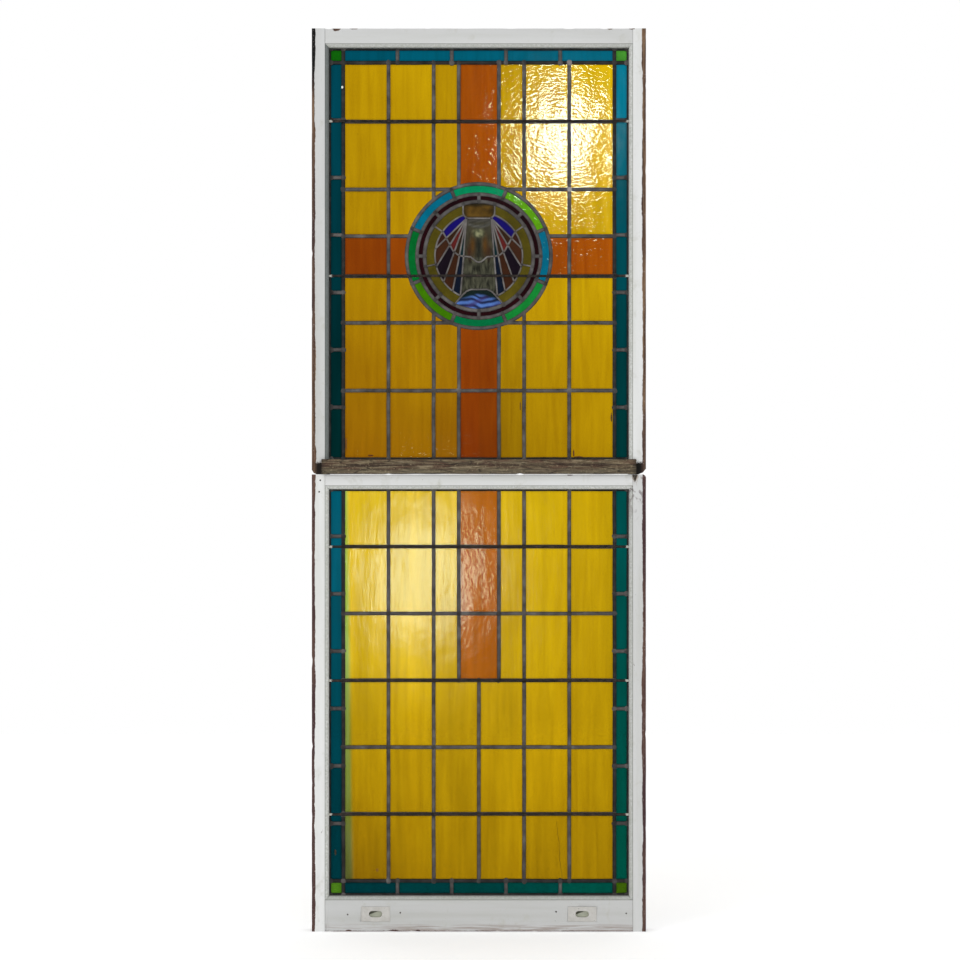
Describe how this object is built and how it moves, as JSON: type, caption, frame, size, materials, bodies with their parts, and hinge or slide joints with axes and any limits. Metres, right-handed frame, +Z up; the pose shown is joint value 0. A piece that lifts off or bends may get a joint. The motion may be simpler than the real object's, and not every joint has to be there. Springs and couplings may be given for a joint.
{
  "type": "stained glass window",
  "caption": "Leaded stained glass window in two white painted wooden sashes, with a teal border, a yellow field, an orange cross and a round medallion.",
  "frame": {"origin": "middle of the underside of the bottom rail, halfway through the sash's thickness", "axes": "+Z up, +X to the right seen from the front, and the front (the room side, with the mouldings, saddle bars and sash lifts) faces -Y"},
  "size_m": [0.9, 0.065, 2.4303],
  "materials": {
    "painted_wood": "white paint, worn and flaking at the edges",
    "bare_wood": "bare, weathered grey brown",
    "painted_lift": "painted over white",
    "lead": "dull oxidised lead with brighter solder joints",
    "steel": "dark, dull",
    "putty": "hard old putty, painted",
    "yellow_glass": "rippled cathedral glass",
    "orange_glass": "rippled cathedral glass",
    "teal_glass": "rippled cathedral glass",
    "green_glass": "rippled cathedral glass",
    "rim_glass": "rippled, greens and blue greens",
    "dark_glass": "very dark red",
    "olive_glass": "painted olive",
    "picture_glass": "painted dark blue, red, brown and green"
  },
  "bodies": {
    "root": {"lower_bottom_rail": "painted_wood", "lower_green_glass_left": "green_glass", "lower_green_glass_right": "green_glass", "lower_leading": "lead", "lower_meeting_rail": "painted_wood", "lower_orange_glass": "orange_glass", "lower_putty": "putty", "lower_saddle_bar_1": "steel", "lower_saddle_bar_2": "steel", "lower_saddle_bar_3": "steel", "lower_stile_left": "painted_wood", "lower_stile_right": "painted_wood", "lower_teal_glass_bottom": "teal_glass", "lower_teal_glass_left": "teal_glass", "lower_teal_glass_right": "teal_glass", "lower_yellow_glass": "yellow_glass", "medallion_dark_ring_glass": "dark_glass", "medallion_figure_glass_lower": "picture_glass", "medallion_figure_glass_upper": "picture_glass", "medallion_fold_glass_left": "picture_glass", "medallion_fold_glass_right": "picture_glass", "medallion_olive_glass_left": "olive_glass", "medallion_olive_glass_right": "olive_glass", "medallion_panel_glass": "picture_glass", "medallion_pool_glass": "picture_glass", "medallion_ray_glass_left": "picture_glass", "medallion_ray_glass_right": "picture_glass", "medallion_rim_glass_1": "rim_glass", "medallion_rim_glass_2": "rim_glass", "medallion_rim_glass_3": "rim_glass", "medallion_rim_glass_4": "rim_glass", "medallion_rim_glass_5": "rim_glass", "medallion_rim_glass_6": "rim_glass", "medallion_rim_glass_7": "rim_glass", "medallion_rim_glass_8": "rim_glass", "sash_lift_left": "painted_lift", "sash_lift_right": "painted_lift", "upper_green_glass_left": "green_glass", "upper_green_glass_right": "green_glass", "upper_leading": "lead", "upper_meeting_rail": "bare_wood", "upper_orange_glass_bottom": "orange_glass", "upper_orange_glass_left": "orange_glass", "upper_orange_glass_right": "orange_glass", "upper_orange_glass_top": "orange_glass", "upper_putty": "putty", "upper_saddle_bar_1": "steel", "upper_saddle_bar_2": "steel", "upper_stile_left": "painted_wood", "upper_stile_right": "painted_wood", "upper_teal_glass_left": "teal_glass", "upper_teal_glass_right": "teal_glass", "upper_teal_glass_top": "teal_glass", "upper_top_rail": "painted_wood", "upper_yellow_glass_bottom_left": "yellow_glass", "upper_yellow_glass_bottom_right": "yellow_glass", "upper_yellow_glass_top_left": "yellow_glass", "upper_yellow_glass_top_right": "yellow_glass"}
  },
  "joints": []
}
